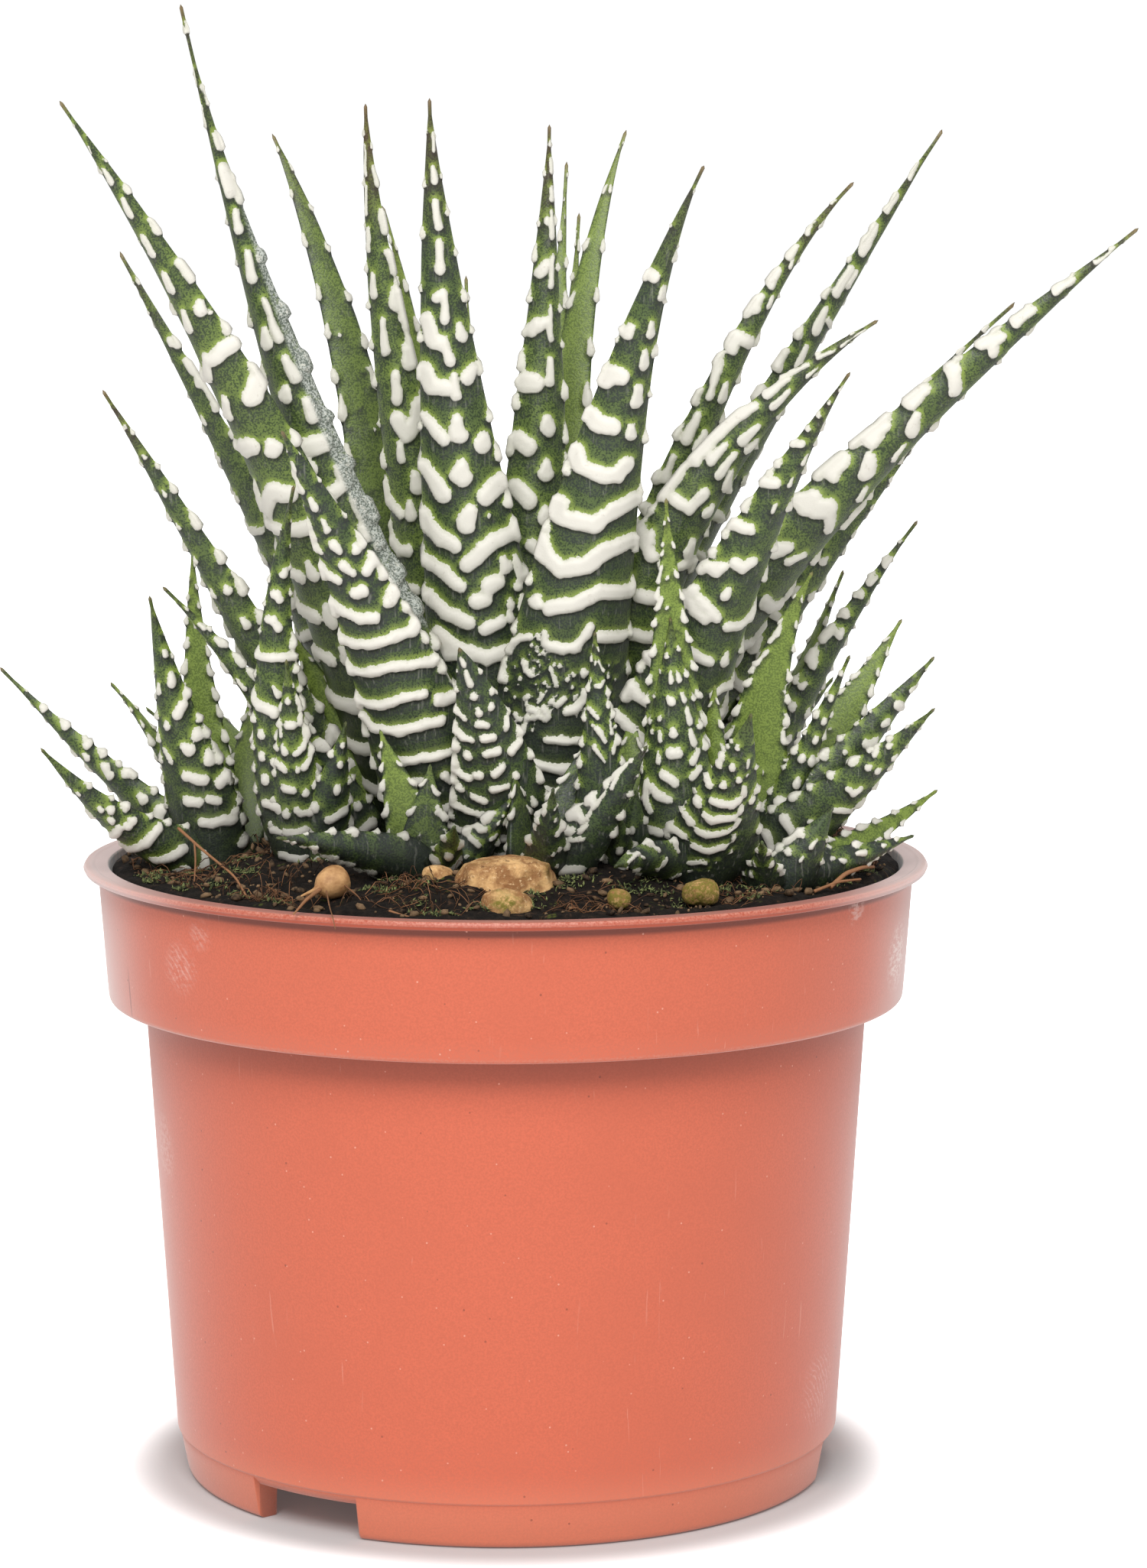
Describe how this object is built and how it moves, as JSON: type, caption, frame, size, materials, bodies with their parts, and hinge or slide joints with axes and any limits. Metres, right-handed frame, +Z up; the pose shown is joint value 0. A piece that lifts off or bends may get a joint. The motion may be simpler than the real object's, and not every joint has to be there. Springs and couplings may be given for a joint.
{
  "type": "potted haworthia",
  "caption": "Zebra haworthia with white-banded pointed leaves and a ring of young rosettes, in soil in a round collared nursery pot.",
  "frame": {"origin": "on the surface that the pot stands on, at the middle of the plan outline of pot and leaves together", "axes": "+Z up along the pot's axis and the longest extent, -Y to the front that the picture shows, +X to the right seen from the front"},
  "size_m": [0.1386, 0.1054, 0.1815],
  "materials": {
    "pot_plastic": "satin, with pale scuffs and scratches",
    "soil": "damp peat with bark fibres, moss and grit",
    "leaf": "waxy dark green with raised warm-white knobs and bands",
    "young_leaf": "waxy bright green with raised white knobs",
    "stone": "rough tan stone, mossy in places",
    "bulb": "dry husk"
  },
  "bodies": {
    "root": {"pot": "pot_plastic", "crown": "young_leaf", "leaf_heart_front": "leaf", "leaf_heart_middle": "leaf", "leaf_heart_left": "leaf", "leaf_heart_back": "leaf", "leaf_big_front": "leaf", "leaf_tall_left": "leaf", "leaf_slim_back": "leaf", "leaf_green_back": "leaf", "leaf_right": "leaf", "leaf_right_back": "leaf", "leaf_low_front": "leaf", "leaf_left": "leaf", "leaf_right_arched": "leaf", "leaf_right_front": "leaf", "leaf_far_right": "leaf", "leaf_thin_back": "leaf", "leaf_short_back": "leaf", "leaf_hidden_back": "leaf", "leaf_shaded_left": "leaf", "leaf_thin_right": "leaf", "leaf_shaded_right": "leaf", "leaf_low_left": "leaf", "leaf_stub_front": "leaf", "leaf_back_left": "leaf", "leaf_back": "leaf", "leaf_back_right": "leaf", "young_far_left": "young_leaf", "young_left": "young_leaf", "young_left_inner": "young_leaf", "young_bright_front": "young_leaf", "young_front": "young_leaf", "young_front_right": "young_leaf", "young_right_front": "young_leaf", "young_right": "young_leaf", "young_right_back": "young_leaf", "young_far_right": "young_leaf", "young_back_left": "young_leaf", "young_back": "young_leaf", "young_back_right": "young_leaf", "soil": "soil", "stone_big": "stone", "stone_low": "stone", "stone_small": "stone", "stone_mossy_left": "stone", "stone_mossy_right": "stone", "dry_bulb": "bulb"}
  },
  "joints": []
}
